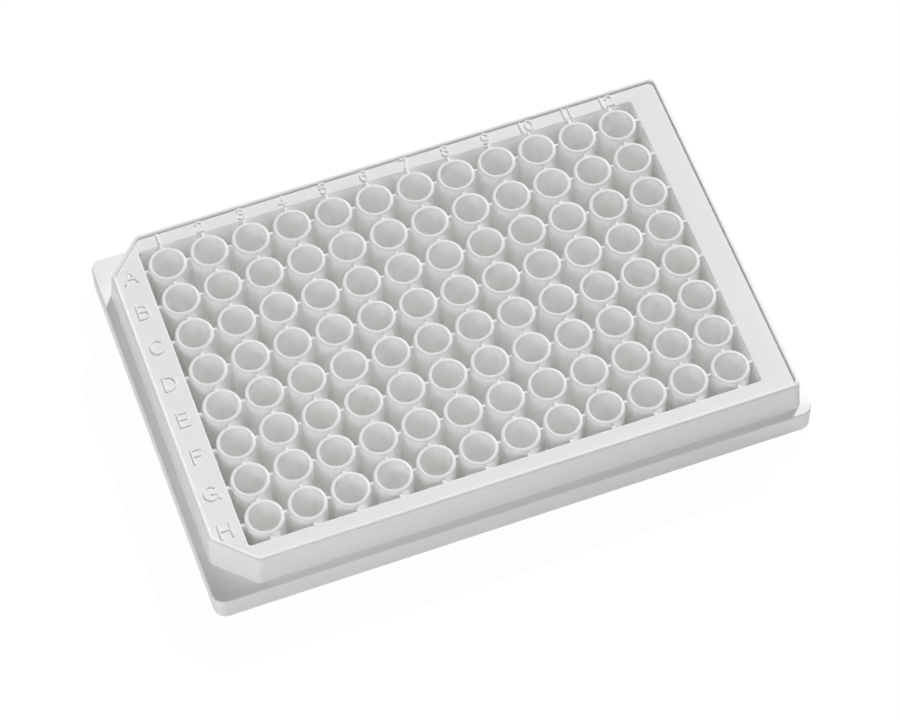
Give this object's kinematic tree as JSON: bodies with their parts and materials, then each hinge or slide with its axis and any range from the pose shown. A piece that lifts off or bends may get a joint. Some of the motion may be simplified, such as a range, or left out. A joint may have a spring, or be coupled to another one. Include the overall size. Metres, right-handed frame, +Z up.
{
  "type": "well plate",
  "caption": "Rectangular plate of open round wells joined by thin webs, in a frame with cut corners at one end and a wider foot skirt.",
  "frame": {"origin": "on the foot plane, under the middle of the wells, which is the middle of the footprint", "axes": "+X along the rows from column 1 to column 12, +Y along the columns from row H to row A, +Z up out of the wells"},
  "size_m": [0.1278, 0.0854, 0.0143],
  "materials": {
    "white_polystyrene": "satin moulded polystyrene"
  },
  "bodies": {
    "root": {"well_plate": "white_polystyrene"}
  },
  "joints": []
}
